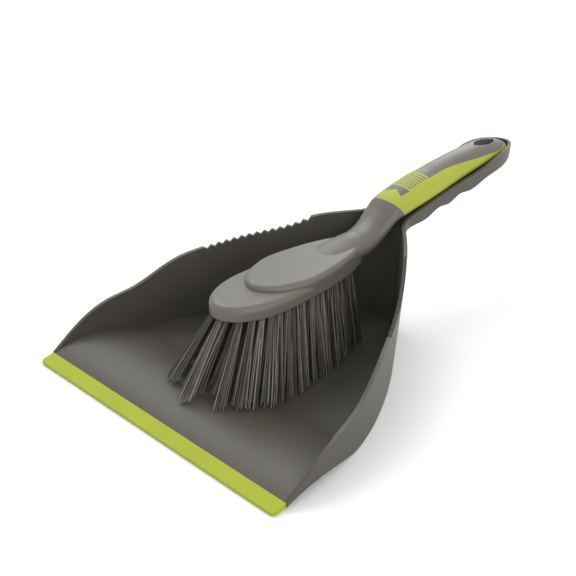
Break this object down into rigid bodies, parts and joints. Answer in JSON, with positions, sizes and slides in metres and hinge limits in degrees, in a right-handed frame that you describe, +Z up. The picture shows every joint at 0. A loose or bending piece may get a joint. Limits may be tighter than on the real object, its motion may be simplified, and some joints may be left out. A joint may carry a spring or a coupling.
{
  "type": "dust pan and brush set",
  "caption": "Grey plastic dust pan with a lime flexible lip, combed walls and a trough handle that a soft-grip hand brush nests on.",
  "frame": {"origin": "on the resting plane, under the middle of the set's footprint", "axes": "+Z up, +Y from the lip towards the tip of the handle, +X to the pan's right"},
  "size_m": [0.2222, 0.3424, 0.1002],
  "materials": {
    "pan_plastic": "satin grey polypropylene",
    "lip_rubber": "satin lime thermoplastic rubber",
    "grip_rubber": "matt lime thermoplastic rubber",
    "brush_plastic": "satin light grey polypropylene",
    "bristle": "dark grey extruded filament",
    "anchor_wire": "flattened galvanised wire"
  },
  "bodies": {
    "pan": {"pan_body": "pan_plastic", "pan_lip": "lip_rubber"},
    "brush": {"brush_body": "brush_plastic", "grip_sleeve": "grip_rubber", "tuft_row_01": "bristle", "tuft_row_02": "bristle", "tuft_row_03": "bristle", "tuft_row_04": "bristle", "tuft_row_05": "bristle", "tuft_row_06": "bristle", "tuft_row_07": "bristle", "tuft_row_08": "bristle", "tuft_row_09": "bristle", "tuft_row_10": "bristle", "tuft_row_11": "bristle", "tuft_row_12": "bristle", "tuft_row_13": "bristle", "tuft_row_14": "bristle", "tuft_row_15": "bristle", "tuft_row_16": "bristle", "tuft_row_17": "bristle", "anchor_row_01": "anchor_wire", "anchor_row_02": "anchor_wire", "anchor_row_03": "anchor_wire", "anchor_row_04": "anchor_wire", "anchor_row_05": "anchor_wire", "anchor_row_06": "anchor_wire", "anchor_row_07": "anchor_wire", "anchor_row_08": "anchor_wire", "anchor_row_09": "anchor_wire", "anchor_row_10": "anchor_wire", "anchor_row_11": "anchor_wire", "anchor_row_12": "anchor_wire", "anchor_row_13": "anchor_wire", "anchor_row_14": "anchor_wire", "anchor_row_15": "anchor_wire", "anchor_row_16": "anchor_wire", "anchor_row_17": "anchor_wire"}
  },
  "joints": [
    {"name": "brush_lift", "type": "slide", "parent": "pan", "child": "brush", "axis": [0, 0, 1], "range_m": [0, 0.115]}
  ]
}
